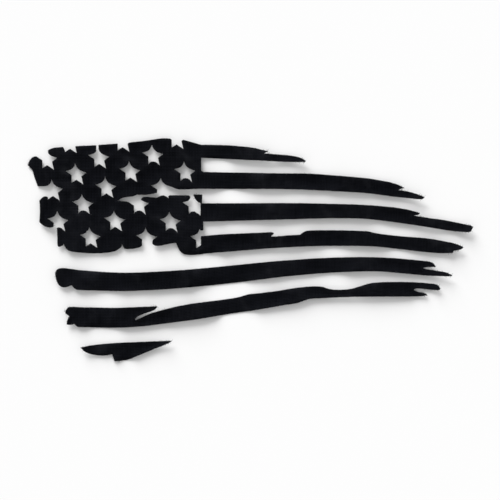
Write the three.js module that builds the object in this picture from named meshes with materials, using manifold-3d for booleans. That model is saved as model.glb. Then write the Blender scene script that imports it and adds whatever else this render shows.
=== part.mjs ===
// A tattered flag of stars and stripes in black cloth, lying face up on a flat surface.
// Only the dark cloth is left: the stars are cut through it and the light stripes are gone.
// What remains lies in four loose pieces, rucked by the same five low soft folds.
// Millimetres, +X along the fly from the hoist, +Y up the flag, +Z up out of the cloth.

import * as THREE from "three";
import { mergeVertices } from "three/addons/utils/BufferGeometryUtils.js";
import Module from "manifold-3d";

const wasm = await Module();
wasm.setup();

// ---- Driving dimensions ----

const FLY = 457; // length along the fly, 18 in
const HOIST = 229; // height of what is left of the cloth
const CLOTH = 2; // thickness of the cloth
const UNION_EDGE = 178; // where the union ends and the stripes leave it
const CHORD = 8; // longest straight step along a smooth edge
const EDGE_MARGIN = 6; // how far the folded sheet runs past the upper and lower edges
const END_MARGIN = 36; // how far it runs past the hoist and fly ends
const CUT_DEPTH = 24; // depth of a cut, through the cloth and its highest fold

// The soft folds, from the hoist to the fly. Each runs straight from its foot at the lower edge
// to its head at the upper edge, and taper is its width and height there against its foot's.
const FOLDS = [
  { foot: 78, head: 34, halfWidth: 26, height: 3.4, taper: 1.15 },
  { foot: 178, head: 150, halfWidth: 33, height: 4.8, taper: 0.8 },
  { foot: 300, head: 226, halfWidth: 27, height: 3.6, taper: 1.2 },
  { foot: 372, head: 318, halfWidth: 34, height: 4.4, taper: 0.75 },
  { foot: 452, head: 392, halfWidth: 24, height: 3, taper: 1.2 },
];
const FOLD_STEPS = 8; // facets across one fold

// Middles of the stars, and whether the cut between a star's two feet is arched or peaked.
const STARS = [
  { x: 43, y: 224.6, arched: false },
  { x: 97, y: 226.2, arched: false },
  { x: 152.5, y: 229, arched: false },
  { x: 19.5, y: 207.8, arched: false },
  { x: 73, y: 209, arched: false },
  { x: 128.4, y: 211.7, arched: true },
  { x: 49.6, y: 192.7, arched: false },
  { x: 105, y: 195, arched: false },
  { x: 161.5, y: 194.6, arched: true },
  { x: 25.5, y: 176, arched: false },
  { x: 80.4, y: 178.8, arched: false },
  { x: 137.5, y: 177.9, arched: true },
  { x: 56.6, y: 161.3, arched: true },
  { x: 113.8, y: 161.2, arched: true },
  { x: 170, y: 160.4, arched: true },
  { x: 31.2, y: 143.8, arched: true },
  { x: 89.4, y: 144.4, arched: false },
  { x: 146.4, y: 143.2, arched: true },
  { x: 64.2, y: 127.3, arched: false },
  { x: 122, y: 126.6, arched: true },
  { x: 177.7, y: 125.6, arched: false },
  { x: 37.8, y: 110, arched: false },
  { x: 98, y: 109.6, arched: false },
];

// ---- Outlines ----

/** Points along one run of an edge: straight to a single point, smooth through several. */
function run(from, stops) {
  if (stops.length === 1) {
    return [new THREE.Vector2(...stops[0])];
  }
  const curve = new THREE.SplineCurve([from, ...stops.map((stop) => new THREE.Vector2(...stop))]);
  const steps = Math.max(2 * stops.length, Math.ceil(curve.getLength() / CHORD));
  return curve.getPoints(steps).slice(1);
}

/** A closed outline from a start point and the runs that lead on from it and back to it. */
function outline(start, ...runs) {
  const points = [new THREE.Vector2(...start)];
  for (const stops of runs) {
    points.push(...run(points.at(-1), stops));
  }
  if (points.at(-1).equals(points[0])) {
    points.pop();
  }
  return new THREE.Shape(points);
}

/** One five-pointed star, leaning a little as cut by hand, round its own middle. */
function star({ x, y, arched }) {
  const top = [-1, 11.1];
  const leftFoot = [-4.8, -9.8];
  const betweenFeet = arched ? [[[3, -7], [-1.6, -6.9], leftFoot]] : [[[0.3, -6.4]], [leftFoot]];
  const runs = [
    [[1, 6.6], [4.5, 3.5], [10.9, 1.2]],
    [[5.6, -2.8]],
    [[7.5, -11.1]],
    ...betweenFeet,
    [[-4.8, -1.5]],
    [[-11.3, 2.9]],
    [[-5.6, 4.4], [-2.6, 7.2], top],
  ];
  const place = ([dx, dy]) => [x + dx, y + dy];
  return outline(place(top), ...runs.map((stops) => stops.map(place)));
}

// The union, without its stars and its tear.
const union = outline(
  [UNION_EDGE, 222.4],
  [[170, 224.6], [159, 227.5], [148, 228.5], [138, 229], [126, 227.2], [106, 224.8]],
  [[103.4, 224.1], [102.4, 222.4]],
  [[92.3, 223.4]],
  [[84, 223], [70, 221.9], [49.7, 221]],
  [[44, 219]],
  [[38.3, 215.4]],
  [[37.4, 217.6], [36.2, 220]],
  [[30, 219.6], [24.6, 218.6], [20.8, 216.6]],
  [[21, 213.8]],
  [[19.5, 207.8]],
  [[14, 206.8]],
  [[10.2, 209.8], [6.6, 210.4], [2.8, 207.8], [0, 201.9]],
  [[4.6, 196.2], [7, 188.4], [10.2, 180]],
  [[21.2, 180]],
  [[24, 174.6]],
  [[20.9, 168.2]],
  [[18.4, 169.4], [15.2, 168.2], [12, 165]],
  [[12.7, 155], [12, 143]],
  [[15.6, 139.8], [20, 137.9], [24.6, 137.7]],
  [[26.4, 138.6]],
  [[28.2, 142]],
  [[30.2, 137.2]],
  [[30.5, 121]],
  [[31, 118.4], [33, 117.7], [36.4, 119.7]],
  [[38.4, 117.6]],
  [[41.4, 114], [48.4, 112.4], [58, 111.4], [70, 111], [82, 111.8], [90, 113.4], [95.2, 116.8]],
  [[101.1, 115.4]],
  [[108, 115.8], [115.4, 117.4], [118.2, 120.8], [117.6, 124.9]],
  [[122, 127.4]],
  [[128.4, 124.6]],
  [[128.2, 120.8], [131.4, 118.8], [137, 119], [145, 120.8], [152.4, 121.9]],
  [[153.8, 118.4], [156.2, 113.6], [160.8, 110.1], [169, 109.3], [180.2, 110.2]],
  [[180.2, 194.5]],
  [[UNION_EDGE, 196]],
);

// The tear that runs in from the fly side of the union, round the small flap beside it.
const tear = outline(
  [184, 177.6],
  [[172, 177.2], [155.4, 176.7], [148.4, 179.1], [140.8, 181.8]],
  [[137.5, 178]],
  [[133, 174.4]],
  [[132.4, 173.1]],
  [[126, 171.8], [119, 171.1], [112, 171.1], [108, 169.6], [98, 168.4], [91.7, 164.7]],
  [[98, 164.4], [103.2, 163.6]],
  [[112, 161]],
  [[117.8, 164]],
  [[116.6, 166.6], [119, 168.6], [125, 168.6], [132.4, 167.9]],
  [[136, 169.6], [139.4, 170.4], [143.2, 168.6]],
  [[145.8, 170.4]],
  [[164.6, 170.4]],
  [[166.8, 169.4], [166.2, 166.6], [164.2, 164.6]],
  [[169.6, 161]],
  [[176.6, 162.6]],
  [[172.9, 165.7], [170.3, 171.1]],
  [[179.2, 171.1]],
  [[178.9, 162.1]],
  [[184, 162.1]],
);

// The straight side of the star that the third stripe cuts short.
const starSide = outline([171, 160], [[177.7, 162]], [[177.7, 149.8]], [[172, 153.2]]);

// The slit that opens the top of one star through the upper edge.
const starSlit = outline([70.2, 214], [[70.2, 225]], [[72.9, 225]], [[72.9, 218]], [[73.6, 216]]);

// The step beside the last star, where the third light stripe meets the union.
const unionStep = outline([176.2, 135.2], [[178.2, 134.6]], [[184, 134.6]], [[184, 126]], [[176, 126]]);

const firstStripe = outline(
  [UNION_EDGE - 2, 222.4],
  [[200, 222], [216, 221], [232, 219.2], [246.9, 215.6]],
  [[243.8, 214.4]],
  [[242.6, 213.3]],
  [[256, 212.5], [268, 211.5], [277, 210]],
  [[282.2, 208], [285.6, 205.4]],
  [[284.6, 204.8]],
  [[264, 205.1], [222, 207.2], [UNION_EDGE, 209.4]],
);

const secondStripe = outline(
  [UNION_EDGE - 2, 194.5],
  [[214, 193.6], [252, 193], [290, 192.6], [320, 190.4], [350, 187.7], [370, 184.3]],
  [[379, 181.8], [386.6, 178.1]],
  [[383.6, 177.4], [380.4, 175.7]],
  [[390, 174.4], [399.4, 171.7], [407.3, 168.4]],
  [[405.4, 166.7], [402, 166.5]],
  [[376, 169.3], [348, 172.9], [316, 174.9], [280, 176.6], [232, 177.4], [UNION_EDGE - 2, 177.4]],
);

const thirdStripe = outline(
  [177.6, 163.6],
  [[179, 163.6]],
  [[179.2, 162.1]],
  [[220, 162.1], [264, 162.4], [308, 161.8], [348, 160.4], [376, 158.1]],
  [[390, 155.8], [402.6, 152.2]],
  [[401.4, 150.8], [395.8, 149.7]],
  [[412, 147.1], [432, 144.2], [455, 139.3]],
  [[457, 137.6], [454.6, 133.1]],
  [[450, 132.8], [432, 134.6], [404, 139.1]],
  [[376, 143.2], [346, 146.5], [312, 147.1], [268, 146], [222, 144.5], [180.2, 143.6]],
  [[177.6, 143.6]],
);

const fourthStripe = outline(
  [UNION_EDGE, 128.4],
  [[200, 130.3], [226, 131.5], [251, 132.5]],
  [[252.6, 131.5]],
  [[249.4, 128]],
  [[256, 128.2], [268, 129.3], [280, 129.9]],
  [[282.6, 132], [286.4, 133.8], [293, 134.4]],
  [[312, 134.5], [331, 134.2], [350, 133.4]],
  [[360, 131], [385, 128.2], [412, 126], [436, 121.6]],
  [[442, 119.6], [447, 117.5]],
  [[445.4, 115.2], [437.4, 113.6]],
  [[436.4, 111.4]],
  [[424, 111.2], [408, 112.4], [392, 114.2]],
  [[371, 116.7], [350, 118.4], [322, 118.8], [290, 118.3], [250, 116.3], [214, 113.5]],
  [[UNION_EDGE, 110.4]],
);

const fifthStripe = outline(
  [28.4, 90],
  [[29.6, 93.4], [32.6, 95.3], [38, 95.6]],
  [[60, 92.9], [98, 90.8], [136, 92.1], [172, 94.6], [208, 98], [250, 102.3], [292, 105.4]],
  [[318, 106.5], [346, 106.9], [374, 106], [396, 104.1], [411, 102.6]],
  [[416.4, 100.8], [418.7, 97]],
  [[412, 96.9], [406, 96], [409.4, 94.6]],
  [[420, 92.8], [430, 91.1], [435.4, 88]],
  [[432, 87.4]],
  [[410, 88.2], [386, 90.4], [362, 92.4], [334, 92.2], [300, 90.4], [262, 87]],
  [[218, 81.4], [180, 77.3], [140, 74], [100, 72.3], [66, 72.9], [50.4, 73.5]],
  [[47.6, 75.4], [45, 78.3]],
  [[41.6, 76.9], [37, 76], [32.4, 78], [29.6, 83], [28.4, 90]],
);

const sixthStripe = outline(
  [38.7, 49.4],
  [[40, 53.6], [42.4, 55.7], [47, 55.7]],
  [[64, 55.1], [90, 54.7], [112, 55.5], [132.8, 56.4]],
  [[131.6, 54.2], [127, 51.5], [119.2, 48.9], [112.8, 46], [110, 43]],
  [[110.8, 41.9]],
  [[116.8, 44.8], [127.8, 49.5], [140.4, 53], [152.4, 56], [168, 59]],
  [[190, 61.7], [210, 64.4], [219, 66.2], [227, 68.6], [240, 70], [258, 72.3]],
  [[276, 75.3], [294, 76.9], [304, 76.1]],
  [[309.6, 74.2], [319, 73.2], [332, 74.2], [343, 77.4], [354, 80.4], [370, 81.3]],
  [[390, 81.3], [408, 80.3], [418, 79.2]],
  [[422.4, 77.4], [423.4, 73.4]],
  [[416, 73.4], [408, 74.4], [400, 74.8], [396.2, 73.4]],
  [[401, 71.2], [407, 70.2], [410.4, 68]],
  [[405, 67], [396, 66.7]],
  [[360, 66.6], [326, 66.1], [296, 64.7]],
  [[288, 63.9], [278, 60.1], [266, 58.2]],
  [[234, 52.6], [206, 48.6], [176, 43.5], [146, 39.5], [116, 35.9], [86, 34.5], [51.6, 35.3]],
  [[49.6, 36.6], [47.6, 38.7]],
  [[44, 37.4], [40, 38]],
  [[40.6, 41.6], [42.9, 46.4]],
);

const seventhStripeScrap = outline(
  [54.7, 13.9],
  [[66, 16.3], [84, 18.1], [104, 19.3], [126, 20.1], [148, 21]],
  [[143, 17.9], [130, 12.8], [112, 5.3], [101, 1.2], [89.2, 0]],
  [[86.6, 7.5]],
  [[80, 6], [73, 6], [64, 7.6], [58, 10.5], [54.7, 13.9]],
);

// ---- Solids ----

/** The closed solid that a three.js geometry bounds. */
function solidOf(geometry) {
  geometry.deleteAttribute("normal");
  geometry.deleteAttribute("uv");
  const merged = mergeVertices(geometry, 1e-4);
  const mesh = new wasm.Mesh({
    numProp: 3,
    vertProperties: new Float32Array(merged.attributes.position.array),
    triVerts: new Uint32Array(merged.index.array),
  });
  return new wasm.Manifold(mesh);
}

/** The three.js geometry of a solid. */
function geometryOf(solid) {
  const mesh = solid.getMesh();
  const geometry = new THREE.BufferGeometry();
  geometry.setAttribute("position", new THREE.BufferAttribute(new Float32Array(mesh.vertProperties), 3));
  geometry.setIndex(new THREE.BufferAttribute(new Uint32Array(mesh.triVerts), 1));
  geometry.computeVertexNormals();
  return geometry;
}

/** A shape cut straight down through the whole depth of the folded sheet. */
function cutter(shape) {
  const geometry = new THREE.ExtrudeGeometry(shape, { depth: CUT_DEPTH, bevelEnabled: false });
  geometry.translate(0, 0, -CUT_DEPTH / 4);
  return solidOf(geometry);
}

/** The lines that cross the sheet: its two ends and the facets of each fold. */
function foldLines() {
  const flatLine = (x) => ({ foot: x, head: x, footRise: 0, headRise: 0 });
  const lines = [flatLine(-END_MARGIN)];
  for (const { foot, head, halfWidth, height, taper } of FOLDS) {
    for (let step = 0; step <= FOLD_STEPS; step += 1) {
      const across = (2 * step) / FOLD_STEPS - 1;
      const rise = height * Math.cos((across * Math.PI) / 2) ** 2;
      lines.push({
        foot: foot + across * halfWidth,
        head: head + across * halfWidth * taper,
        footRise: rise,
        headRise: rise * taper,
      });
    }
  }
  lines.push(flatLine(FLY + END_MARGIN));
  return lines;
}

/** The whole folded sheet that the cloth pieces are cut from, with its underside on the surface. */
function foldedSheet() {
  const lines = foldLines();
  const last = lines.length - 1;
  const geometry = new THREE.BoxGeometry(last, 1, 1, last, 1, 1);
  const corners = geometry.attributes.position;
  for (let i = 0; i < corners.count; i += 1) {
    const line = lines[Math.round(corners.getX(i) + last / 2)];
    const up = corners.getY(i) > 0;
    const lift = corners.getZ(i) > 0 ? CLOTH : 0;
    corners.setXYZ(
      i,
      up ? line.head : line.foot,
      up ? HOIST + EDGE_MARGIN : -EDGE_MARGIN,
      (up ? line.headRise : line.footRise) + lift,
    );
  }
  return solidOf(geometry);
}

// ---- The flag ----

const sheet = foldedSheet();

let unionCut = cutter(union).subtract(cutter(tear)).subtract(cutter(starSlit)).subtract(cutter(unionStep));
unionCut = unionCut.subtract(cutter(starSide));
for (const place of STARS) {
  unionCut = unionCut.subtract(cutter(star(place)));
}
for (const stripe of [firstStripe, secondStripe, thirdStripe, fourthStripe]) {
  unionCut = unionCut.add(cutter(stripe));
}

const pieces = {
  union_and_upper_stripes: unionCut,
  fifth_stripe: cutter(fifthStripe),
  sixth_stripe: cutter(sixthStripe),
  seventh_stripe_scrap: cutter(seventhStripeScrap),
};

const flag = new THREE.Group();
for (const [name, cut] of Object.entries(pieces)) {
  const cloth = new THREE.MeshStandardMaterial({ color: 0x0d0e12, roughness: 0.9, metalness: 0 });
  const piece = new THREE.Mesh(geometryOf(sheet.intersect(cut)), cloth);
  piece.name = name;
  flag.add(piece);
}

// The origin is on the surface, under the middle of the flag.
const extent = new THREE.Box3().setFromObject(flag);
const middle = extent.getCenter(new THREE.Vector3());
flag.position.set(-middle.x, -middle.y, -extent.min.z);

const group = new THREE.Group();
group.add(flag);

export default group;
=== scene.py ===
"""A tattered flag of stars and stripes, what is left of it in black cotton bunting.

The stars and the light stripes are gone, and the dark cloth lies face up in four loose pieces on a
pale floor, rucked by the same low soft folds. Sizes are in millimetres from the flag's lower hoist
corner, with x along the fly and y up the flag, and meshes are in metres in the frame of the model.
"""

import logging
import math
import random
from dataclasses import dataclass, field
from enum import Enum

import bmesh
import bpy
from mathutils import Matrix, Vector, kdtree, noise


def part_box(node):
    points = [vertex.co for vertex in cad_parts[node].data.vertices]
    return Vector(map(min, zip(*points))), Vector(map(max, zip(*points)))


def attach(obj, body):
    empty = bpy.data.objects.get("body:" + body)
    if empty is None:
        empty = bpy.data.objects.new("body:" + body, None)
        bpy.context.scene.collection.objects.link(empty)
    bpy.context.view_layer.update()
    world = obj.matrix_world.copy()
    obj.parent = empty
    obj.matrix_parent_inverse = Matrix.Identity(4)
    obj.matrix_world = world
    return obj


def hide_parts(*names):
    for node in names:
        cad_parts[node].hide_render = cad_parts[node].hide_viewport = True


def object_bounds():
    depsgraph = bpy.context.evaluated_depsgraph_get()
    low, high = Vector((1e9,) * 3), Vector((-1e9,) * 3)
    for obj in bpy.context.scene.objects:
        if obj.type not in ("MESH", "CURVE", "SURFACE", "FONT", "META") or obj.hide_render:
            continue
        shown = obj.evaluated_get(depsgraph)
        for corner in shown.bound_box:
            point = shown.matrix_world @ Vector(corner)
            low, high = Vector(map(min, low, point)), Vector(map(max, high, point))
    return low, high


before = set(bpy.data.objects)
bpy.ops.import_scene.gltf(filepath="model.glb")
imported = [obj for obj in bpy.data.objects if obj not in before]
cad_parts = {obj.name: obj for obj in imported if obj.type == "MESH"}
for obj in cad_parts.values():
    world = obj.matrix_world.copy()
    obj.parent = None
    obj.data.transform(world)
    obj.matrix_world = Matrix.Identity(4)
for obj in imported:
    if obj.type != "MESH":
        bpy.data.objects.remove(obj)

LOG = logging.getLogger("tattered_flag")
MM = 0.001  # metres in a millimetre
CAD_LOW, CAD_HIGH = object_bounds()
BODY = "root"
GRAIN_UV = "grain"  # UV map whose u runs along the weft and v along the warp, in metres
WEAR = "wear"  # vertex attribute, 0 where the cloth is as dyed and 1 where it is rubbed most
NOISE_SEED = 11  # of the noise vectors, which would otherwise start from the clock
EDGE_STEP = 0.25  # how far apart the places along an edge are
UPWARD = 0.5  # a face with more than this of its normal upwards is part of the upper side
NUMBER_A, NUMBER_B, NUMBER_OUT = 2, 3, 0  # a Mix node's sockets for numbers
COLOUR_A, COLOUR_B, COLOUR_OUT = 6, 7, 2  # and for colours


# ---- Helpers ----


def linear(colour: str) -> tuple[float, float, float, float]:
    """Turns an sRGB hex colour into linear red, green, blue and alpha.

    Args:
        colour: The colour as "#rrggbb".

    Returns:
        The four linear channels, alpha 1.
    """
    channels = [int(colour[i : i + 2], 16) / 255 for i in (1, 3, 5)]
    return (*(c / 12.92 if c <= 0.04045 else ((c + 0.055) / 1.055) ** 2.4 for c in channels), 1.0)


def add_node(
    tree: bpy.types.NodeTree, kind: str, inputs: dict | None = None, **settings: object
) -> bpy.types.Node:
    """Adds a node with its settings, its values and its links.

    Args:
        tree: The node tree that it goes in.
        kind: The node's type.
        inputs: For each input by name or number, its value or the output that feeds it.
        **settings: The node's own properties.

    Returns:
        The new node.
    """
    node = tree.nodes.new(kind)
    for name, value in settings.items():
        setattr(node, name, value)
    for socket, value in (inputs or {}).items():
        if isinstance(value, bpy.types.NodeSocket):
            tree.links.new(value, node.inputs[socket])
        else:
            node.inputs[socket].default_value = value
    return node


def new_material(name: str) -> tuple[bpy.types.Material, bpy.types.NodeTree]:
    """Makes an empty node material.

    Args:
        name: The finish's name.

    Returns:
        The material and its node tree.
    """
    material = bpy.data.materials.new(name)
    material.use_nodes = True
    material.node_tree.nodes.clear()
    return material, material.node_tree


def new_object(name: str, mesh: bpy.types.Mesh, material: bpy.types.Material) -> bpy.types.Object:
    """Puts a finished mesh in the scene with its material.

    Args:
        name: The piece's name.
        mesh: Its mesh, already in place.
        material: Its finish.

    Returns:
        The new object, at the origin.
    """
    mesh.name = name
    mesh.materials.clear()
    mesh.materials.append(material)
    piece = bpy.data.objects.new(name, mesh)
    bpy.context.scene.collection.objects.link(piece)
    return piece


def to_flag(point: Vector) -> tuple[float, float]:
    """Gives a point's place on the flag in millimetres from its lower hoist corner."""
    return (point.x - CAD_LOW.x) / MM, (point.y - CAD_LOW.y) / MM


def to_frame(x: float, y: float, z: float) -> Vector:
    """Gives the place in the frame, in metres, of a point of the flag in millimetres."""
    return Vector((CAD_LOW.x + x * MM, CAD_LOW.y + y * MM, z * MM))


def ease(share: float) -> float:
    """Smooth step from 0 to 1 as share goes from 0 to 1."""
    share = min(max(share, 0.0), 1.0)
    return share * share * (3 - 2 * share)


def ramp(value: float, ends: tuple[float, float]) -> float:
    """Smooth step from 0 at the first of two ends to 1 at the second."""
    return ease((value - ends[0]) / (ends[1] - ends[0]))


def hump(off: float) -> float:
    """Gives the height of a round hump, from 1 at its middle to 0 at its foot, where off is 1 or -1."""
    return math.cos(off * math.pi / 2) ** 2 if abs(off) < 1 else 0.0


# ---- Finishes ----


@dataclass(frozen=True)
class BlackBunting:
    """Plain-woven cotton bunting in black dye: matt, because light sinks between its yarns.

    The eye sees a black with a little blue in it that fades in soft patches, streaked along the yarns
    where they are thick and thin, and dusty where it is rubbed at its crests and raw edges. Light and
    shade are painted into it too: a painted sheen where the warp is on top, and painted shade in the
    dips between the yarns against painted light on their crowns. A range is that of a noise, from where
    it starts to show to where it shows in full.
    """

    name: str = "woven_black_cotton_bunting"
    dye: str = "#030406"
    # the paler colour, for real fades and thick yarns, and for the painted sheen and painted light on the
    # crowns
    faded_and_painted_light: str = "#121318"
    dust: str = "#202125"
    sheen_tint: str = "#c4c8d4"
    yarn_pitch: float = 1.6  # real yarns are 0.5 mm apart, drawn this coarse so that they show
    yarn_crown: float = 0.9  # power that rounds a yarn across its width
    yarn_dip: float = 0.3  # power that dips it at its ends, where it goes under
    yarn_height: float = 0.5
    relief: float = 0.9  # how strongly all the relief shows
    fibre_size: float = 0.4  # real fibres are 0.02 mm, drawn as coarse as still shows
    fibre_relief: float = 0.3  # height of the fibres against that of the yarns
    slub_length: float = 26.0  # how long a thick place in a yarn is
    slub_width: float = 1.3  # real yarns are 0.5 mm, drawn coarser so that a streak shows
    slub_relief: float = 0.35  # height of the thick places against that of the yarns
    slub_range: tuple[float, float] = (0.75, 1.25)
    slub_fade: float = 0.7  # how far the thick yarns are faded
    slub_gloss: float = 0.12  # how much less rough the thickest are
    gloss_range: tuple[float, float] = (0.6, 1.4)
    patch_size: float = 75.0  # how wide a faded patch is
    patch_range: tuple[float, float] = (0.35, 0.7)
    patch_fade: float = 0.45  # how far the patches are faded
    warp_painted_sheen: float = 0.35  # how far the warp on top is painted paler than the weft: a painted sheen
    painted_depth_shading: tuple[float, float] = (0.25, 1.15)  # share of the paling kept in the dips and on the crowns: painted shade between the yarns, painted light on their tops
    rub_size: float = 9.0  # how wide a rubbed patch is
    rub_range: tuple[float, float] = (0.35, 0.75)
    roughness: float = 0.9
    ior: float = 1.53
    specular: float = 0.025  # cotton's is 0.5, and the weave traps nearly all of it
    sheen: float = 0.14
    sheen_roughness: float = 0.25

    def streaks(
        self, tree: bpy.types.NodeTree, grain: bpy.types.NodeSocket, along: int
    ) -> bpy.types.NodeSocket:
        """Makes the streaks of thick and thin yarns that run one way.

        Args:
            tree: The material's node tree.
            grain: The place along the weft and the warp, in metres.
            along: 0 for streaks along the weft, 1 along the warp.

        Returns:
            The output with the streaks, from 0 to 1.
        """
        scale = [1 / (self.slub_width * MM)] * 2 + [1.0]
        scale[along] = 1 / (self.slub_length * MM)
        place = add_node(tree, "ShaderNodeMapping", {"Vector": grain, "Scale": scale})
        return add_node(
            tree, "ShaderNodeTexNoise", {"Vector": place.outputs[0], "Scale": 1.0, "Detail": 2.0}
        ).outputs[0]

    def weave(
        self, tree: bpy.types.NodeTree, grain: bpy.types.NodeSocket
    ) -> tuple[bpy.types.NodeSocket, bpy.types.NodeSocket]:
        """Makes the plain weave, where each yarn goes over one and under the next.

        Args:
            tree: The material's node tree.
            grain: The place along the weft and the warp, in metres.

        Returns:
            The output with the height of the yarns, from 0 to 1, and the one that is over 0 where the
            warp is on top and under 0 where the weft is.
        """
        turn = math.pi / (self.yarn_pitch * MM)  # half a wave to a yarn
        waves, crowns = [], []
        parts = add_node(tree, "ShaderNodeSeparateXYZ", {0: grain})
        for axis in (0, 1):
            angle = add_node(
                tree, "ShaderNodeMath", {0: parts.outputs[axis], 1: turn}, operation="MULTIPLY"
            ).outputs[0]
            wave = add_node(tree, "ShaderNodeMath", {0: angle}, operation="SINE").outputs[0]
            waves.append(wave)
            crowns.append(add_node(tree, "ShaderNodeMath", {0: wave}, operation="ABSOLUTE").outputs[0])
        crossing = add_node(
            tree, "ShaderNodeMath", {0: waves[0], 1: waves[1]}, operation="MULTIPLY"
        ).outputs[0]
        warp_up = add_node(
            tree, "ShaderNodeMath", {0: crossing, 1: 0.0}, operation="GREATER_THAN"
        ).outputs[0]
        # The yarn on top is round across its width and dips at its ends, where it goes under.
        across = add_node(
            tree, "ShaderNodeMix", {0: warp_up, NUMBER_A: crowns[1], NUMBER_B: crowns[0]}
        ).outputs[NUMBER_OUT]
        along = add_node(
            tree, "ShaderNodeMix", {0: warp_up, NUMBER_A: crowns[0], NUMBER_B: crowns[1]}
        ).outputs[NUMBER_OUT]
        crown = add_node(
            tree, "ShaderNodeMath", {0: across, 1: self.yarn_crown}, operation="POWER"
        ).outputs[0]
        dip = add_node(
            tree, "ShaderNodeMath", {0: along, 1: self.yarn_dip}, operation="POWER"
        ).outputs[0]
        height = add_node(
            tree, "ShaderNodeMath", {0: crown, 1: dip}, operation="MULTIPLY"
        ).outputs[0]
        return height, crossing

    def dye_and_painted_light(
        self,
        tree: bpy.types.NodeTree,
        place: bpy.types.NodeSocket,
        slubs: bpy.types.NodeSocket,
        weave: tuple[bpy.types.NodeSocket, bpy.types.NodeSocket],
    ) -> bpy.types.NodeSocket:
        """Makes the colour: the dye, paler where it fades in patches and in the thick yarns, with a
        painted sheen where the warp is on top, and painted shade in the dips between the yarns
        against painted light on their crowns.

        Args:
            tree: The material's node tree.
            place: The place on the flag, in metres.
            slubs: The thick and thin places in the yarns.
            weave: The height of the yarns, and the output that is over 0 where the warp is on top.

        Returns:
            The output with the colour.
        """
        height, crossing = weave
        patches = add_node(
            tree, "ShaderNodeTexNoise", {"Vector": place, "Scale": 1 / (self.patch_size * MM), "Detail": 3.0}
        ).outputs[0]
        pale = []
        for source, (low, high), share in (
            (patches, self.patch_range, self.patch_fade),
            (slubs, self.slub_range, self.slub_fade),
            # painted sheen: the warp is made paler where it is on top
            (crossing, (-1.0, 1.0), self.warp_painted_sheen),
        ):
            spread = {"Value": source, "From Min": low, "From Max": high, "To Max": share}
            pale.append(add_node(tree, "ShaderNodeMapRange", spread).outputs[0])
        # real fades and thick yarns, plus the painted sheen on the warp
        fade_and_painted_light = add_node(tree, "ShaderNodeMath", {0: pale[0], 1: pale[1]}, operation="ADD").outputs[0]
        fade_and_painted_light = add_node(tree, "ShaderNodeMath", {0: fade_and_painted_light, 1: pale[2]}, operation="ADD").outputs[0]
        # painted shade in the dips between the yarns and painted light on their crowns
        low, high = self.painted_depth_shading
        shade_by_depth = add_node(
            tree, "ShaderNodeMapRange", {"Value": height, "To Min": low, "To Max": high}
        ).outputs[0]
        fade_and_painted_light = add_node(
            tree, "ShaderNodeMath", {0: fade_and_painted_light, 1: shade_by_depth}, operation="MULTIPLY", use_clamp=True
        ).outputs[0]
        # the dye mixed towards the paler colour by real fades and by painted sheen, shade and light
        return add_node(
            tree,
            "ShaderNodeMix",
            {"Factor": fade_and_painted_light, COLOUR_A: linear(self.dye), COLOUR_B: linear(self.faded_and_painted_light)},
            data_type="RGBA",
        ).outputs[COLOUR_OUT]

    def dusty(
        self, tree: bpy.types.NodeTree, place: bpy.types.NodeSocket, dye: bpy.types.NodeSocket
    ) -> bpy.types.NodeSocket:
        """Adds dust and broken fibres, in patches, to the cloth that is rubbed.

        Args:
            tree: The material's node tree.
            place: The place on the flag, in metres.
            dye: The colour of the cloth.

        Returns:
            The output with the colour.
        """
        low, high = self.rub_range
        wear = add_node(tree, "ShaderNodeAttribute", attribute_name=WEAR).outputs["Fac"]
        rub = add_node(
            tree, "ShaderNodeTexNoise", {"Vector": place, "Scale": 1 / (self.rub_size * MM), "Detail": 4.0}
        ).outputs[0]
        patchy = add_node(
            tree, "ShaderNodeMapRange", {"Value": rub, "From Min": low, "From Max": high}
        ).outputs[0]
        rubbed = add_node(tree, "ShaderNodeMath", {0: patchy, 1: wear}, operation="MULTIPLY").outputs[0]
        return add_node(
            tree,
            "ShaderNodeMix",
            {"Factor": rubbed, COLOUR_A: dye, COLOUR_B: linear(self.dust)},
            data_type="RGBA",
        ).outputs[COLOUR_OUT]

    def build(self) -> bpy.types.Material:
        """Builds the finish.

        Returns:
            The material.
        """
        material, tree = new_material(self.name)
        grain = add_node(tree, "ShaderNodeUVMap", uv_map=GRAIN_UV).outputs[0]
        place = add_node(tree, "ShaderNodeTexCoord").outputs["Object"]
        height, crossing = self.weave(tree, grain)
        weft, warp = self.streaks(tree, grain, 0), self.streaks(tree, grain, 1)
        slubs = add_node(tree, "ShaderNodeMath", {0: weft, 1: warp}, operation="ADD").outputs[0]
        # the cloth's colour holds painted sheen and painted shade as well as dye and dust
        colour = self.dusty(tree, place, self.dye_and_painted_light(tree, place, slubs, (height, crossing)))
        fibres = add_node(
            tree, "ShaderNodeTexNoise", {"Vector": grain, "Scale": 1 / (self.fibre_size * MM), "Detail": 2.0}
        ).outputs[0]
        relief = height
        for source, share in ((slubs, self.slub_relief), (fibres, self.fibre_relief)):
            relief = add_node(
                tree, "ShaderNodeMath", {0: source, 1: share, 2: relief}, operation="MULTIPLY_ADD"
            ).outputs[0]
        bump = add_node(
            tree,
            "ShaderNodeBump",
            {"Height": relief, "Strength": self.relief, "Distance": self.yarn_height * MM},
        ).outputs[0]
        low, high = self.gloss_range
        rough = add_node(
            tree,
            "ShaderNodeMapRange",
            {
                "Value": slubs,
                "From Min": low,
                "From Max": high,
                "To Min": self.roughness,
                "To Max": self.roughness - self.slub_gloss,
            },
        ).outputs[0]
        surface = add_node(
            tree,
            "ShaderNodeBsdfPrincipled",
            {
                "Base Color": colour,
                "Roughness": rough,
                "IOR": self.ior,
                "Specular IOR Level": self.specular,
                "Sheen Weight": self.sheen,
                "Sheen Roughness": self.sheen_roughness,
                "Sheen Tint": linear(self.sheen_tint),
                "Normal": bump,
            },
        )
        add_node(tree, "ShaderNodeOutputMaterial", {"Surface": surface.outputs[0]})
        return material


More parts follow.
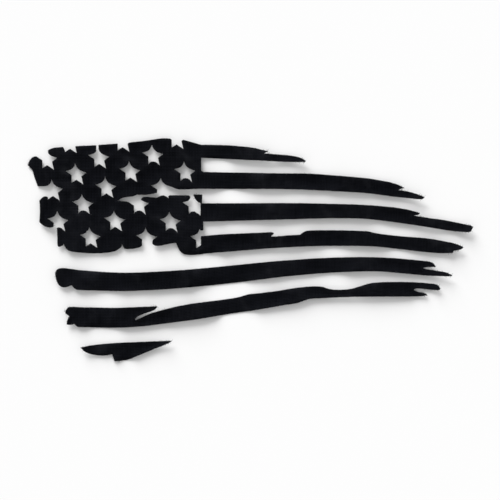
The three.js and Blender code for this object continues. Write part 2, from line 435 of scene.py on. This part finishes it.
@dataclass(frozen=True)
class RawYarn:
    """Cotton yarn pulled loose at a torn edge: the same black dye, worn paler on its hairy twist."""

    name: str = "raw_black_cotton_yarn"
    dye: str = "#0b0c0f"
    worn: str = "#1c1d21"
    twist: float = 0.9  # length of one turn of the yarn
    worn_range: tuple[float, float] = (0.35, 0.75)  # of the hairs, from as dyed to worn
    hair: float = 0.1  # height of the hairs
    relief: float = 0.5  # how strongly they show
    roughness: float = 0.92
    ior: float = 1.53
    specular: float = 0.08
    sheen: float = 0.08
    sheen_roughness: float = 0.4

    def build(self) -> bpy.types.Material:
        """Builds the finish.

        Returns:
            The material.
        """
        material, tree = new_material(self.name)
        low, high = self.worn_range
        place = add_node(tree, "ShaderNodeTexCoord").outputs["Object"]
        hairs = add_node(
            tree, "ShaderNodeTexNoise", {"Vector": place, "Scale": 1 / (self.twist * MM), "Detail": 3.0}
        ).outputs[0]
        worn = add_node(
            tree, "ShaderNodeMapRange", {"Value": hairs, "From Min": low, "From Max": high}
        ).outputs[0]
        colour = add_node(
            tree,
            "ShaderNodeMix",
            {"Factor": worn, COLOUR_A: linear(self.dye), COLOUR_B: linear(self.worn)},
            data_type="RGBA",
        ).outputs[COLOUR_OUT]
        bump = add_node(
            tree,
            "ShaderNodeBump",
            {"Height": hairs, "Strength": self.relief, "Distance": self.hair * MM},
        ).outputs[0]
        surface = add_node(
            tree,
            "ShaderNodeBsdfPrincipled",
            {
                "Base Color": colour,
                "Roughness": self.roughness,
                "IOR": self.ior,
                "Specular IOR Level": self.specular,
                "Sheen Weight": self.sheen,
                "Sheen Roughness": self.sheen_roughness,
                "Normal": bump,
            },
        )
        add_node(tree, "ShaderNodeOutputMaterial", {"Surface": surface.outputs[0]})
        return material


@dataclass(frozen=True)
class FloorPaper:
    """Matt white paper, rolled smooth: an even pale ground that takes a soft shadow."""

    name: str = "smooth_white_paper"
    colour: str = "#f0f0f0"
    roughness: float = 1.0
    specular: float = 0.0

    def build(self) -> bpy.types.Material:
        """Builds the finish.

        Returns:
            The material.
        """
        material, tree = new_material(self.name)
        surface = add_node(
            tree,
            "ShaderNodeBsdfPrincipled",
            {
                "Base Color": linear(self.colour),
                "Roughness": self.roughness,
                "Specular IOR Level": self.specular,
            },
        )
        add_node(tree, "ShaderNodeOutputMaterial", {"Surface": surface.outputs[0]})
        return material


# ---- How the cloth lies ----


class Chance(Enum):
    """The slice of the noise that each uneven thing about the cloth is taken from, so that no two match."""

    SLACK = 0
    WANDER = 3
    SETTLED = 30
    CRUMPLE = 40
    LIMP = 60
    CURL = 90


@dataclass(frozen=True)
class Fold:
    """A low soft fold right across the flag, from its foot at the lower edge to its head.

    Its taper is its width and height at the head against those at the foot.
    """

    foot: float
    head: float
    half_width: float
    height: float
    taper: float
    low: float = -6.0  # how far up the flag the foot is
    high: float = 235.0  # and the head
    stray: float = 9.0  # how far the fold wanders from its straight line
    settle: float = 0.35  # share of its height that it loses where the cloth has settled
    stray_size: float = 36.0  # how far up the flag each wander or settled place goes

    def uneven(self, y: float, chance: Chance) -> float:
        """Gives how uneven the fold is, about -0.5 to 0.5, at a height up the flag."""
        return noise.noise(Vector((self.foot, y / self.stray_size, chance.value)))

    def rise(self, x: float, y: float) -> float:
        """Gives how far the fold lifts the cloth.

        Args:
            x: How far along the fly.
            y: How far up the flag.

        Returns:
            The lift.
        """
        up = (y - self.low) / (self.high - self.low)
        size = 1 + (self.taper - 1) * up
        middle = self.foot + (self.head - self.foot) * up + self.stray * self.uneven(y, Chance.WANDER)
        height = self.height * size * (1 - self.settle * (0.5 + self.uneven(y, Chance.SETTLED)))
        return height * hump((x - middle) / (self.half_width * size))


@dataclass(frozen=True)
class Crease:
    """A small soft ridge between two places, which fades out at both."""

    start: tuple[float, float]
    end: tuple[float, float]
    half_width: float
    height: float
    blunt: float = 0.7  # power under 1, so that it keeps its height until near its ends

    def rise(self, x: float, y: float) -> float:
        """Gives how far the crease lifts the cloth.

        Args:
            x: How far along the fly.
            y: How far up the flag.

        Returns:
            The lift.
        """
        start, axis = Vector(self.start), Vector(self.end) - Vector(self.start)
        along = (Vector((x, y)) - start).dot(axis) / axis.length_squared
        if not 0 < along < 1:
            return 0.0
        off = (Vector((x, y)) - start - axis * along).length / self.half_width
        return self.height * math.sin(math.pi * along) ** self.blunt * hump(off)


@dataclass(frozen=True)
class TornEnd:
    """A torn tip or end of the cloth, which curls up off the floor and frays."""

    x: float
    y: float
    reach: float  # how far from the tip it starts to lift
    lift: float  # how high the tip stands

    def near(self, x: float, y: float) -> float:
        """Gives 1 at the tip, falling smoothly to 0 where it starts to lift."""
        return ease(1 - math.hypot(x - self.x, y - self.y) / self.reach)


@dataclass(frozen=True)
class Union:
    """The part of the flag with the stars, whose many cut edges all stand alike."""

    fly: float = 178.0  # how far along the fly it goes
    low: float = 105.0  # how far up the flag it starts
    high: float = 229.0  # and ends
    margin: float = 26.0  # how far in from its sides the edges stand alike

    def within(self, x: float, y: float) -> float:
        """Gives 0 outside the union, rising smoothly to 1 well inside it."""
        return ease(min(x, self.fly - x, y - self.low, self.high - y) / self.margin)


@dataclass(frozen=True)
class Crumple:
    """The sharp little creases of crumpled cotton, which run more up the flag than along it."""

    height: float = 1.1
    size: float = 21.0  # how far apart the larger creases are
    lean: float = 0.6  # under 1, so that they are longer up the flag
    bends: float = 0.7  # how many bends there are to a crease
    bend: float = 0.6  # how far they bend
    sharp: int = 4  # power that makes a crease sharp
    finer: float = 2.3  # how many times closer the small creases are
    fine_share: float = 0.3  # share of the height that is in the small creases
    fine_shift: tuple[float, float, float] = (5.0, 3.0, 9.0)  # so that they miss the larger ones

    def crease(self, place: Vector) -> float:
        """Gives 1 along the middle of each crease, falling sharply on both sides."""
        return (1 - abs(noise.noise(place))) ** self.sharp

    def rise(self, x: float, y: float) -> float:
        """Gives how far the creases lift the cloth.

        Args:
            x: How far along the fly.
            y: How far up the flag.

        Returns:
            The lift.
        """
        place = Vector((x, y * self.lean, Chance.CRUMPLE.value)) / self.size
        bent = place + noise.noise_vector(place * self.bends) * self.bend
        fine = self.crease(bent * self.finer + Vector(self.fine_shift))
        return self.height * ((1 - self.fine_share) * self.crease(bent) + self.fine_share * fine)


@dataclass(frozen=True)
class Drape:
    """How the whole cloth lies on the floor, with each fold, crease and curled end in its place."""

    union: Union = Union()
    crumple: Crumple = Crumple()
    folds: tuple[Fold, ...] = (
        Fold(78, 34, 26, 3.4, 1.15),
        Fold(178, 150, 33, 4.8, 0.8),
        Fold(300, 226, 27, 3.6, 1.2),
        Fold(372, 318, 34, 4.4, 0.75),
        Fold(452, 392, 24, 3, 1.2),
    )
    creases: tuple[Crease, ...] = (
        # across the union, between its stars
        Crease((8, 196), (62, 168), 8, 1.1),
        Crease((44, 150), (96, 130), 8, 0.9),
        Crease((82, 216), (136, 196), 8, 0.9),
        Crease((112, 152), (172, 134), 9, 1.1),
        Crease((146, 226), (178, 196), 7, 1.0),
        Crease((20, 132), (42, 172), 7, 0.8),
        # aslant across the stripes
        Crease((208, 226), (228, 203), 7, 0.9),
        Crease((256, 198), (276, 172), 8, 1.1),
        Crease((342, 194), (356, 168), 7, 0.9),
        Crease((296, 166), (318, 142), 8, 1.0),
        Crease((356, 164), (346, 138), 7, 0.9),
        Crease((228, 136), (250, 112), 8, 1.0),
        Crease((398, 132), (412, 108), 7, 0.8),
        Crease((104, 96), (128, 68), 8, 1.1),
        Crease((238, 106), (258, 78), 8, 1.0),
        Crease((350, 110), (366, 88), 7, 0.9),
        Crease((94, 58), (78, 32), 7, 0.9),
        Crease((212, 70), (232, 44), 8, 1.0),
        Crease((338, 84), (328, 62), 7, 0.9),
        Crease((104, 22), (114, 2), 7, 0.8),
    )
    ends: tuple[TornEnd, ...] = (
        # first stripe
        TornEnd(246.9, 215.6, 13, 1.6),
        TornEnd(285.6, 205.4, 22, 3.0),
        # second stripe
        TornEnd(386.6, 178.1, 14, 1.4),
        TornEnd(407.3, 168.4, 22, 3.2),
        # third stripe
        TornEnd(402.6, 152.2, 12, 1.2),
        TornEnd(457.0, 136.5, 24, 3.4),
        # fourth stripe
        TornEnd(251.4, 129.8, 9, 0.9),
        TornEnd(447.0, 117.5, 16, 2.4),
        TornEnd(436.4, 111.4, 14, 1.2),
        # fifth stripe
        TornEnd(418.7, 97.0, 13, 1.8),
        TornEnd(435.4, 88.0, 22, 3.0),
        TornEnd(28.4, 88.0, 15, 1.8),
        # sixth stripe
        TornEnd(423.4, 73.4, 15, 2.2),
        TornEnd(410.4, 68.0, 14, 1.6),
        TornEnd(132.8, 56.4, 18, 2.2),
        TornEnd(38.7, 49.4, 14, 1.6),
        # scrap of the seventh stripe
        TornEnd(148.0, 21.0, 20, 2.6),
        TornEnd(54.7, 13.9, 14, 1.6),
        TornEnd(89.2, 0.0, 12, 1.4),
        # union: its hoist edge and the flap beside the tear
        TornEnd(0.0, 201.9, 14, 2.0),
        TornEnd(171.0, 170.8, 8, 0.8),
        TornEnd(24.6, 137.7, 12, 1.0),
    )
    slack: float = 2.2  # how far the cloth stands off the floor where it lies slack
    slack_size: float = 42.0  # how wide a slack place is
    slack_level: float = 0.6  # how commonly the cloth is slack: at 0, half of it lies tight
    settled: float = 0.9  # how much of all its height the cloth's own weight presses flat
    edge_height: float = 5.2  # where a raw edge comes to rest, curled up off the floor or sagged off a fold
    edge_curl: float = 1.0  # how far some stretches of edge curl up or sag past that
    edge_size: float = 19.0  # how long such a stretch is
    edge_give: float = 0.75  # share of the way there that a raw edge goes
    edge_reach: float = 4.2  # how far in from the edge it starts
    limp: float = 1.7  # how near the floor the limp stretches of edge come
    limp_size: float = 38.0  # how long a limp stretch is

    def uneven(self, x: float, y: float, size: float, chance: Chance) -> float:
        """Gives a smooth value, about -0.5 to 0.5, which goes up and down over places of a size."""
        return noise.noise(Vector((x, y, chance.value)) / size)

    def rise(self, x: float, y: float, edge: float) -> float:
        """Gives the height of the cloth's underside over the floor.

        Args:
            x: How far along the fly.
            y: How far up the flag.
            edge: How far in from the nearest edge of the cloth.

        Returns:
            The height, never under 0.
        """
        height = sum(fold.rise(x, y) for fold in self.folds)
        height += sum(crease.rise(x, y) for crease in self.creases)
        slack = self.uneven(x, y, self.slack_size, Chance.SLACK)
        height += self.slack * max(slack + self.slack_level, 0) + self.crumple.rise(x, y)
        curl = self.uneven(x, y, self.edge_size, Chance.CURL)
        limp = self.uneven(x, y, self.limp_size, Chance.LIMP) * (1 - self.union.within(x, y))
        stand = self.edge_height * (1 - min(self.limp * max(-limp, 0), 1)) + self.edge_curl * curl
        height += self.edge_give * (stand - height) * math.exp(-edge / self.edge_reach)
        height += max(end.lift * end.near(x, y) for end in self.ends)
        return max(height - self.settled, 0)

    def torn(self, x: float, y: float) -> float:
        """Gives how near a place is to a torn end, from 0 away from all to 1 at a tip."""
        return max(end.near(x, y) for end in self.ends)

    def crest(self, x: float, y: float) -> float:
        """Gives how near a place is to the top of a fold or crease.

        Args:
            x: How far along the fly.
            y: How far up the flag.

        Returns:
            How near, from 0 at the foot to 1 at the top.
        """
        folds = max(fold.rise(x, y) / fold.height for fold in self.folds)
        creases = max(crease.rise(x, y) / crease.height for crease in self.creases)
        return min(max(folds, creases), 1.0)


@dataclass(frozen=True)
class Grain:
    """How the yarns run: the warp up the flag, and the weft along it, bowed as the stripes hang."""

    sag: float = 26.0  # how far the weft drops from the union to the fly on the upper stripes
    sag_along: tuple[float, float] = (230.0, 470.0)  # from where to where along the fly
    swell: float = 20.0  # how far it climbs to the middle of the lower stripes
    swell_along: tuple[float, float] = (90.0, 320.0)
    dip: float = 10.0  # how far it drops again from there to the fly
    dip_along: tuple[float, float] = (330.0, 440.0)
    change: tuple[float, float] = (60.0, 210.0)  # how far up the flag the one way turns into the other

    def place(self, x: float, y: float) -> tuple[float, float]:
        """Gives a place's distance along the weft and along the warp.

        Args:
            x: How far along the fly.
            y: How far up the flag.

        Returns:
            Both distances, in metres.
        """
        up = ramp(y, self.change)
        lower = self.swell * ramp(x, self.swell_along) - self.dip * ramp(x, self.dip_along)
        return x * MM, (y + self.sag * ramp(x, self.sag_along) * up - lower * (1 - up)) * MM


# ---- Cloth pieces ----


class Edge(Enum):
    """How a stretch of edge came about, with the least and most that its yarn ends stand out."""

    CUT = (0.12, 0.6)
    TORN = (0.4, 2.2)


@dataclass(frozen=True)
class EdgePoint:
    """A place on the edge of the cloth and the way out of the cloth there."""

    x: float
    y: float
    out_x: float
    out_y: float


@dataclass
class YarnEnds:
    """The short ends of yarn that stand out of a piece's raw edge, longer where it is torn."""

    name: str
    drape: Drape
    seed: int
    drop: float  # how far the whole piece came down to touch the floor
    spacing: float = 1.3  # from one end to the next along the edge
    torn_spacing: float = 0.6  # the same at a torn tip
    radius: float = 0.14
    taper: float = 0.45  # share of its radius that an end loses to its tip
    root: float = 0.8  # how far into the cloth an end starts
    steps: int = 5
    square: tuple[float, float] = (0.45, 0.85)  # how squarely an edge crosses the weft for it to fray there
    fewer: int = 2  # power that makes long ends fewer than short ones
    sway: float = 0.45  # how far an end leans, against its length
    curl: float = 0.8  # how far it curls aside, against its length
    droop: tuple[float, float] = (0.2, 0.9)  # how far it hangs down, against its length
    height: float = 0.9  # how high in the cloth's thickness it starts

    def grow(self, edge: list[EdgePoint], material: bpy.types.Material) -> bpy.types.Object:
        """Grows the yarn ends along an edge.

        Args:
            edge: Places along the edge, each EDGE_STEP from the next.
            material: Their finish.

        Returns:
            The yarn ends as one piece.
        """
        rng = random.Random(self.seed)
        curve = bpy.data.curves.new(self.name, "CURVE")
        curve.dimensions = "3D"
        curve.bevel_depth = self.radius * MM
        curve.bevel_resolution = 0
        curve.use_fill_caps = True
        for point in edge:
            torn = self.drape.torn(point.x, point.y)
            spacing = self.spacing + (self.torn_spacing - self.spacing) * torn
            if rng.random() < EDGE_STEP / spacing:
                self.add_end(curve, point, torn, rng)
        loose = bpy.data.objects.new(self.name, curve)
        bpy.context.scene.collection.objects.link(loose)
        shown = bpy.context.evaluated_depsgraph_get()
        mesh = bpy.data.meshes.new_from_object(loose.evaluated_get(shown))
        bpy.data.objects.remove(loose)
        bpy.data.curves.remove(curve)
        mesh.shade_smooth()
        return new_object(self.name, mesh, material)

    def add_end(self, curve: bpy.types.Curve, point: EdgePoint, torn: float, rng: random.Random) -> None:
        """Adds one yarn end, which runs with the weft or the warp, whichever crosses the edge.

        Args:
            curve: The curve that it goes in.
            point: Where it leaves the cloth.
            torn: How near a torn tip it is, from 0 to 1.
            rng: The source of chance.
        """
        weft = abs(point.out_x) > rng.uniform(*self.square)
        if weft:
            way = Vector((math.copysign(1, point.out_x), 0))
        else:
            way = Vector((0, math.copysign(1, point.out_y)))
        aside = Vector((-way.y, way.x))
        sway = aside * rng.uniform(-self.sway, self.sway)
        short, long = (cut + (tear - cut) * torn for cut, tear in zip(Edge.CUT.value, Edge.TORN.value))
        reach = short + (long - short) * rng.random() ** self.fewer
        bend = rng.uniform(-self.curl, self.curl) * reach
        droop = rng.uniform(*self.droop)
        start = self.drape.rise(point.x, point.y, 0) + self.height - self.drop
        spline = curve.splines.new("POLY")
        spline.points.add(self.steps)
        for step, spot in enumerate(spline.points):
            share = step / self.steps
            out = -self.root + (self.root + reach) * share
            lean = sway * max(out, 0) + aside * bend * share * share
            x, y = point.x + way.x * out + lean.x, point.y + way.y * out + lean.y
            z = max(start - droop * max(out, 0), self.radius)
            spot.co = (*to_frame(x, y, z), 1)
            spot.radius = 1 - self.taper * share


@dataclass(frozen=True)
class Cut:
    """What a piece was cut to: the least rectangle that holds it, and its own area, in metres.

    The width is its outline's. The length and the area also have what the folds under it take up
    along the fly, 0.5 to 0.9 mm for each.
    """

    node: str
    length: float
    width: float
    area: float


@dataclass
class ClothPiece:
    """One loose piece of the flag: a thin sheet of cloth with the outline of its solid."""

    cut: Cut
    seed: int
    drape: Drape
    grain: Grain
    thickness: float = 1.5
    same: float = 0.01  # corners of the solid nearer than this are one
    level: float = math.radians(0.6)  # faces that meet at less than this are made one
    pitch: float = 1.5  # how far apart the lines are that the cloth bends along
    on_line: float = 0.001  # corners nearer to such a line than this are on it
    weld: float = 0.12  # corners of the small squares nearer than this are made one
    rim: float = 0.45  # width of the band that rounds the edge
    spread: float = 0.17  # how far the loosened yarns of a raw edge stand out past its outline
    rag: float = 0.16  # how far the edge strays from that
    rag_size: float = 2.4  # how long each stray is
    rag_reach: float = 1.0  # how far in from the edge the cloth spreads and strays
    thin_edge: tuple[float, float] = (0.16, 0.56)  # where the edge's two faces lie in the thickness
    thin_reach: float = 2.2  # how far in the cloth gets its full thickness
    crest_wear: float = 0.55
    edge_wear: float = 0.6
    edge_wear_reach: float = 1.6  # how far in from the edge that goes
    end_wear: float = 0.3
    edge: list[EdgePoint] = field(default_factory=list)

    def flat_cloth(self) -> bmesh.types.BMesh:
        """Lays the solid's upper face out flat and rules it into small squares.

        Returns:
            The flat cloth, one layer of faces that all look up.
        """
        cloth = bmesh.new()
        cloth.from_mesh(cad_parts[self.cut.node].data)
        bmesh.ops.remove_doubles(cloth, verts=cloth.verts, dist=self.same * MM)
        cloth.normal_update()
        others = [face for face in cloth.faces if face.normal.z < UPWARD]
        bmesh.ops.delete(cloth, geom=others, context="FACES")
        bmesh.ops.scale(cloth, vec=(1, 1, 0), verts=cloth.verts)
        bmesh.ops.dissolve_limit(cloth, angle_limit=self.level, verts=cloth.verts, edges=cloth.edges)
        bmesh.ops.inset_region(
            cloth, faces=cloth.faces, thickness=self.rim * MM, use_boundary=True, use_even_offset=True
        )
        low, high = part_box(self.cut.node)
        for axis in (Vector((1, 0, 0)), Vector((0, 1, 0))):
            first, last = low.dot(axis), high.dot(axis)
            count = round((last - first) / (self.pitch * MM))
            for step in range(1, count):
                bmesh.ops.bisect_plane(
                    cloth,
                    geom=cloth.verts[:] + cloth.edges[:] + cloth.faces[:],
                    dist=self.on_line * MM,
                    plane_co=axis * (first + (last - first) * step / count),
                    plane_no=axis,
                )
        many = [face for face in cloth.faces if len(face.verts) > 4]
        bmesh.ops.triangulate(cloth, faces=many)
        bmesh.ops.remove_doubles(cloth, verts=cloth.verts, dist=self.weld * MM)
        cloth.normal_update()
        turned = {edge for face in cloth.faces if face.normal.z < UPWARD for edge in face.edges}
        bmesh.ops.collapse(cloth, edges=list(turned))
        return cloth

    def find_edge(self, cloth: bmesh.types.BMesh) -> kdtree.KDTree:
        """Walks the edge of the flat cloth and keeps its places.

        Args:
            cloth: The flat cloth.

        Returns:
            A tree of the places, in metres, which gives how far in any point is.
        """
        self.edge.clear()
        for side in cloth.edges:
            if not side.is_boundary:
                continue
            start, end = (vert.co for vert in side.verts)
            out = (end - start).cross(Vector((0, 0, 1))).normalized()
            if out.dot(side.link_faces[0].calc_center_median() - start) > 0:
                out.negate()
            count = max(1, round((end - start).length / (EDGE_STEP * MM)))
            for step in range(count):
                x, y = to_flag(start.lerp(end, step / count))
                self.edge.append(EdgePoint(x, y, out.x, out.y))
        tree = kdtree.KDTree(len(self.edge))
        for number, point in enumerate(self.edge):
            tree.insert(to_frame(point.x, point.y, 0), number)
        tree.balance()
        return tree

    def lay(self, cloth: bmesh.types.BMesh, edges: kdtree.KDTree) -> float:
        """Gives the flat cloth its thickness, lays it over its folds and brings it down to the floor.

        Args:
            cloth: The flat cloth.
            edges: The tree of places on its edge.

        Returns:
            How far it came down to touch the floor.
        """
        wear = cloth.verts.layers.float.new(WEAR)
        grain = cloth.loops.layers.uv.new(GRAIN_UV)
        bmesh.ops.solidify(cloth, geom=cloth.faces[:], thickness=self.thickness * MM)
        middle = sum(vert.co.z for vert in cloth.verts) / len(cloth.verts)
        for face in cloth.faces:
            face.smooth = True
            for loop in face.loops:
                loop[grain].uv = self.grain.place(*to_flag(loop.vert.co))
        for vert in cloth.verts:
            _, number, inside = edges.find(Vector((vert.co.x, vert.co.y, 0)))
            inside /= MM
            x, y = to_flag(vert.co)
            vert[wear] = self.wear_at(x, y, inside)
            stray = noise.noise_vector(Vector((x, y, self.seed)) / self.rag_size) * self.rag
            out = Vector((self.edge[number].out_x, self.edge[number].out_y, 0)) * self.spread
            stray = (stray + out) * math.exp(-inside / self.rag_reach)
            full = math.sqrt(ease(inside / self.thin_reach))
            low, high = self.thin_edge
            level = high + (1 - high) * full if vert.co.z > middle else low * (1 - full)
            z = self.drape.rise(x, y, inside) + self.thickness * level
            vert.co = to_frame(x + stray.x, y + stray.y, z)
        lowest = min(vert.co.z for vert in cloth.verts)
        bmesh.ops.translate(cloth, vec=(0, 0, -lowest), verts=cloth.verts)
        bmesh.ops.recalc_face_normals(cloth, faces=cloth.faces)
        return lowest / MM

    def wear_at(self, x: float, y: float, inside: float) -> float:
        """Gives how much the cloth is rubbed, most at its raw edges, tips and crests.

        Args:
            x: How far along the fly.
            y: How far up the flag.
            inside: How far in from the edge.

        Returns:
            The wear, from 0 to 1.
        """
        rubbed = self.crest_wear * self.drape.crest(x, y) ** 2
        rubbed += self.edge_wear * math.exp(-inside / self.edge_wear_reach)
        return min(rubbed + self.end_wear * self.drape.torn(x, y), 1.0)

    def build(self, bunting: bpy.types.Material, yarn: bpy.types.Material) -> None:
        """Makes the piece and its yarn ends, and puts them in the place of its solid.

        Args:
            bunting: The finish of the cloth.
            yarn: The finish of the yarn ends.
        """
        node, flat = self.cut.node, (self.cut.length, self.cut.width)
        cloth = self.flat_cloth()
        drop = self.lay(cloth, self.find_edge(cloth))
        mesh = bpy.data.meshes.new(node)
        cloth.to_mesh(mesh)
        cloth.free()
        sheet = new_object(f"{node}_cloth", mesh, bunting)
        ends = YarnEnds(f"{node}_yarn_ends", self.drape, self.seed, drop).grow(self.edge, yarn)
        for piece in (sheet, ends):
            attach(piece, BODY)
            LOG.info("%s: %d faces", piece.name, len(piece.data.polygons))
        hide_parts(node)


@dataclass
class Flag:
    """What is left of the flag: the union with the upper stripes, and three loose pieces below it."""

    drape: Drape = field(default_factory=Drape)
    grain: Grain = field(default_factory=Grain)
    cuts: tuple[Cut, ...] = (
        Cut("union_and_upper_stripes", 0.460, 0.1197, 0.0264),
        Cut("fifth_stripe", 0.410, 0.0346, 0.00663),
        Cut("sixth_stripe", 0.388, 0.0469, 0.00572),
        Cut("seventh_stripe_scrap", 0.0939, 0.0210, 0.00100),
    )

    def build(self) -> None:
        """Makes each piece."""
        bunting, yarn = BlackBunting().build(), RawYarn().build()
        for seed, cut in enumerate(self.cuts, start=1):
            ClothPiece(cut, seed, self.drape, self.grain).build(bunting, yarn)


# ---- Studio ----


@dataclass
class Studio:
    """A plain pale floor under soft light from the upper left, and a camera straight above."""

    floor_radius: float = 6.0  # metres
    floor_sides: int = 96
    floor_gap: float = 0.05  # how far the floor lies under the cloth
    lens: float = 200.0
    sensor: float = 36.0
    field_of_view: float = 514.6  # what the camera takes in across
    key_from: tuple[float, float] = (-3.0, 7.0)  # the way to the key light over the floor
    key_height: float = math.radians(25)
    key_spread: float = math.radians(38)
    key_power: float = 3.945
    fill: float = 0.6
    fill_colour: str = "#ffffff"
    backdrop: float = 0.98  # as bright as the lit floor, so that no horizon shows
    aim: tuple[float, float] = (-0.17, -0.19)  # how far the camera is off the flag's middle

    def lay_floor(self) -> None:
        """Lays the floor just under the cloth."""
        floor = bmesh.new()
        bmesh.ops.create_circle(floor, cap_ends=True, segments=self.floor_sides, radius=self.floor_radius)
        bmesh.ops.translate(floor, vec=(0, 0, -self.floor_gap * MM), verts=floor.verts)
        mesh = bpy.data.meshes.new("floor")
        floor.to_mesh(mesh)
        floor.free()
        new_object("floor", mesh, FloorPaper().build())

    def light(self) -> None:
        """Hangs the soft key light and sets the even fill all round."""
        key = bpy.data.lights.new("key", "SUN")
        key.energy, key.angle = self.key_power, self.key_spread
        lamp = bpy.data.objects.new("key", key)
        across = Vector(self.key_from).normalized() * math.cos(self.key_height)
        lamp.rotation_mode = "QUATERNION"
        lamp.rotation_quaternion = Vector((*across, math.sin(self.key_height))).to_track_quat("Z", "Y")
        bpy.context.scene.collection.objects.link(lamp)
        world = bpy.data.worlds.new("even_fill")
        world.use_nodes = True
        world.node_tree.nodes.clear()
        tree = world.node_tree
        seen = add_node(tree, "ShaderNodeLightPath").outputs["Is Camera Ray"]
        strength = add_node(
            tree, "ShaderNodeMapRange", {"Value": seen, "To Min": self.fill, "To Max": self.backdrop}
        ).outputs[0]
        background = add_node(
            tree, "ShaderNodeBackground", {"Color": linear(self.fill_colour), "Strength": strength}
        )
        add_node(tree, "ShaderNodeOutputWorld", {"Surface": background.outputs[0]})
        bpy.context.scene.world = world

    def place_camera(self) -> None:
        """Puts the camera straight above the flag."""
        lens = bpy.data.cameras.new("camera")
        lens.lens, lens.sensor_width = self.lens, self.sensor
        camera = bpy.data.objects.new("camera", lens)
        height = self.field_of_view * self.lens / self.sensor
        camera.location = Vector((*self.aim, height)) * MM
        bpy.context.scene.collection.objects.link(camera)
        bpy.context.scene.camera = camera

    def build(self) -> None:
        """Sets the scene."""
        bpy.context.scene.view_settings.view_transform = "Standard"
        self.lay_floor()
        self.light()
        self.place_camera()


def main() -> None:
    """Builds the studio and the flag."""
    logging.basicConfig(level=logging.INFO, format="%(message)s")
    noise.seed_set(NOISE_SEED)
    Studio().build()
    Flag().build()
    bpy.context.view_layer.update()


if __name__ == "__main__":
    main()
